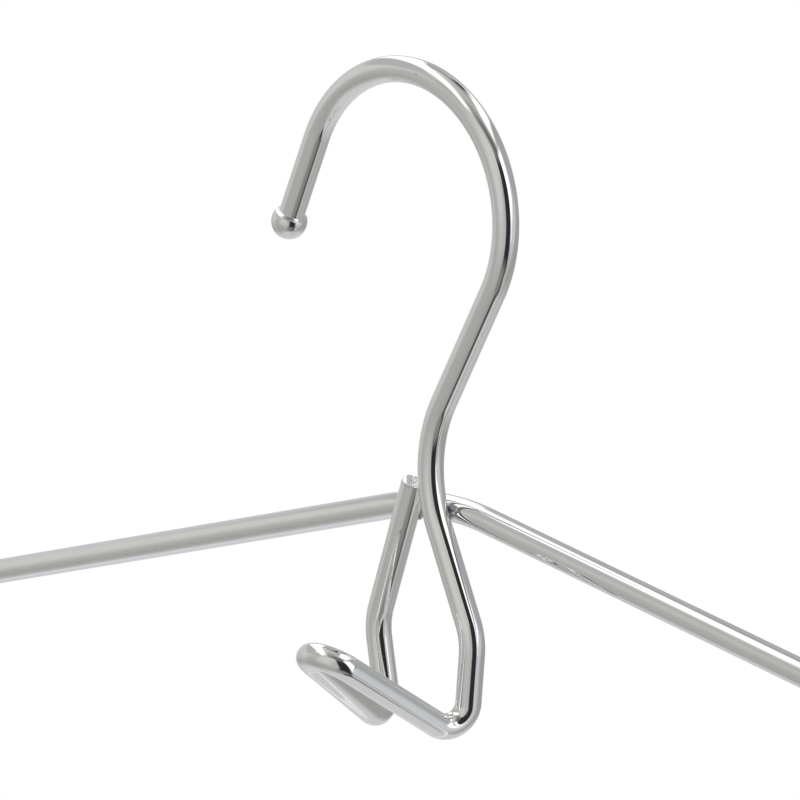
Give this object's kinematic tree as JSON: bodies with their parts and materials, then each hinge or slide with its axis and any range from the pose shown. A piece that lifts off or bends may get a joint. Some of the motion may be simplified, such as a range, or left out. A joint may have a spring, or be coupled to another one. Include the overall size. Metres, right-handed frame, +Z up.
{
  "type": "trouser hanger",
  "caption": "Chrome wire trouser hanger: ball-tipped hook, upswept cascade loop on two legs, sloping shoulders and a level bar with a non-slip sleeve.",
  "frame": {"origin": "the point under the top of the hook that rests on the wardrobe rail", "axes": "+X across the hanger, away from the hook's open side; +Y to the back, so the cascade loop points to -Y; +Z up"},
  "size_m": [0.4, 0.0346, 0.1651],
  "materials": {
    "wire_chrome": "bright chrome plate over drawn steel wire",
    "weld_metal": "plated weld metal, slightly rough",
    "sleeve_vinyl": "soft milky white vinyl, satin with a fine grain"
  },
  "bodies": {
    "root": {"hook_wire": "wire_chrome", "hook_ball": "wire_chrome", "frame_wire": "wire_chrome", "weld_left": "weld_metal", "weld_right": "weld_metal", "bar_weld": "weld_metal", "bar_sleeve": "sleeve_vinyl"}
  },
  "joints": []
}
